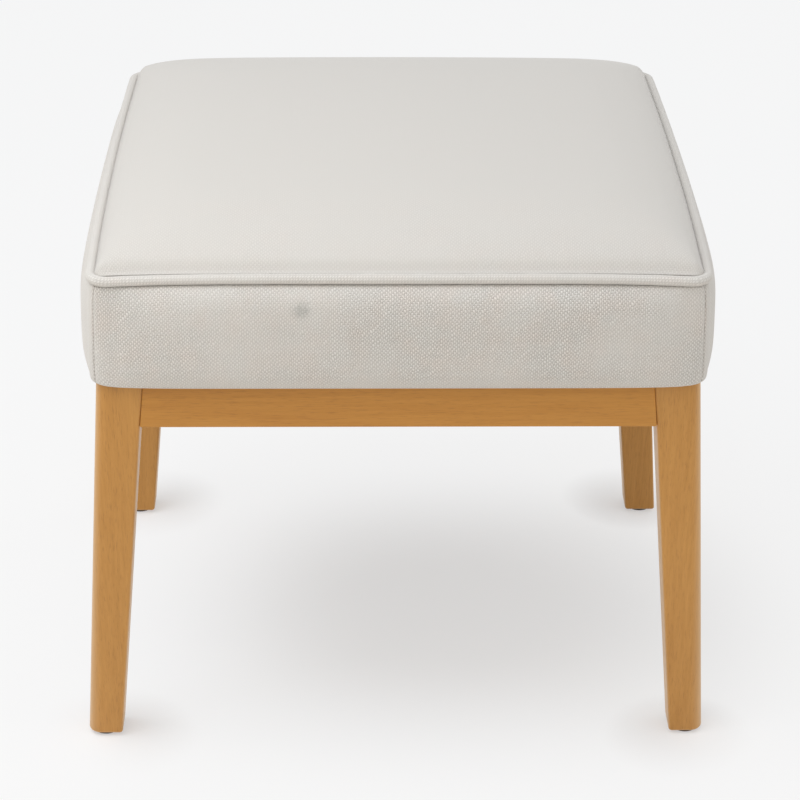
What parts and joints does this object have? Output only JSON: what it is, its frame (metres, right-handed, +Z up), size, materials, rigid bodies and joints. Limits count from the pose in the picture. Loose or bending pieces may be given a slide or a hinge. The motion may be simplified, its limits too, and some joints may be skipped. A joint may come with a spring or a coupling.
{
  "type": "upholstered footstool",
  "caption": "Square upholstered footstool: a crowned and piped box cushion in woven fabric on a timber base with aprons and splayed, tapered legs rounded at their outer corners.",
  "frame": {"origin": "on the floor, under the middle of the seat", "axes": "+X towards the stool's right as seen from its front, -Y towards the front, +Z up"},
  "size_m": [0.5156, 0.4852, 0.4688],
  "materials": {
    "stained_beech": "satin lacquer over a honey-brown stain, fine short flecks along the grain",
    "frame_timber": "bare planed timber",
    "dowel_beech": "bare turned beech",
    "zinc_steel": "zinc-plated",
    "glide_plastic": "matt dark brown",
    "jute_webbing": "coarse woven jute",
    "grey_felt": "pressed felt",
    "seat_foam": "open-cell polyurethane foam",
    "polyester_wadding": "soft fibre wadding",
    "cover_fabric": "matt greige linen-look weave",
    "cotton_cord": "twisted cotton",
    "dust_cloth": "black spunbond"
  },
  "bodies": {
    "root": {"leg_front_left": "stained_beech", "leg_front_right": "stained_beech", "leg_back_left": "stained_beech", "leg_back_right": "stained_beech", "apron_front": "stained_beech", "apron_back": "stained_beech", "apron_left": "stained_beech", "apron_right": "stained_beech", "apron_dowels": "dowel_beech", "corner_block_front_left": "frame_timber", "corner_block_front_right": "frame_timber", "corner_block_back_left": "frame_timber", "corner_block_back_right": "frame_timber", "block_screws": "zinc_steel", "seat_screws": "zinc_steel", "glide_front_left": "glide_plastic", "glide_front_right": "glide_plastic", "glide_back_left": "glide_plastic", "glide_back_right": "glide_plastic", "glide_nails": "zinc_steel", "seat_rail_front": "frame_timber", "seat_rail_back": "frame_timber", "seat_rail_left": "frame_timber", "seat_rail_right": "frame_timber", "rail_dowels": "dowel_beech", "webbing_lengthwise": "jute_webbing", "webbing_crosswise": "jute_webbing", "webbing_felt": "grey_felt", "foam_slab": "seat_foam", "foam_crown": "seat_foam", "wadding_wrap": "polyester_wadding", "cover_top": "cover_fabric", "boxing_front": "cover_fabric", "boxing_right": "cover_fabric", "boxing_back": "cover_fabric", "boxing_left": "cover_fabric", "piping_casing": "cover_fabric", "piping_cord": "cotton_cord", "dust_cover": "dust_cloth"}
  },
  "joints": []
}
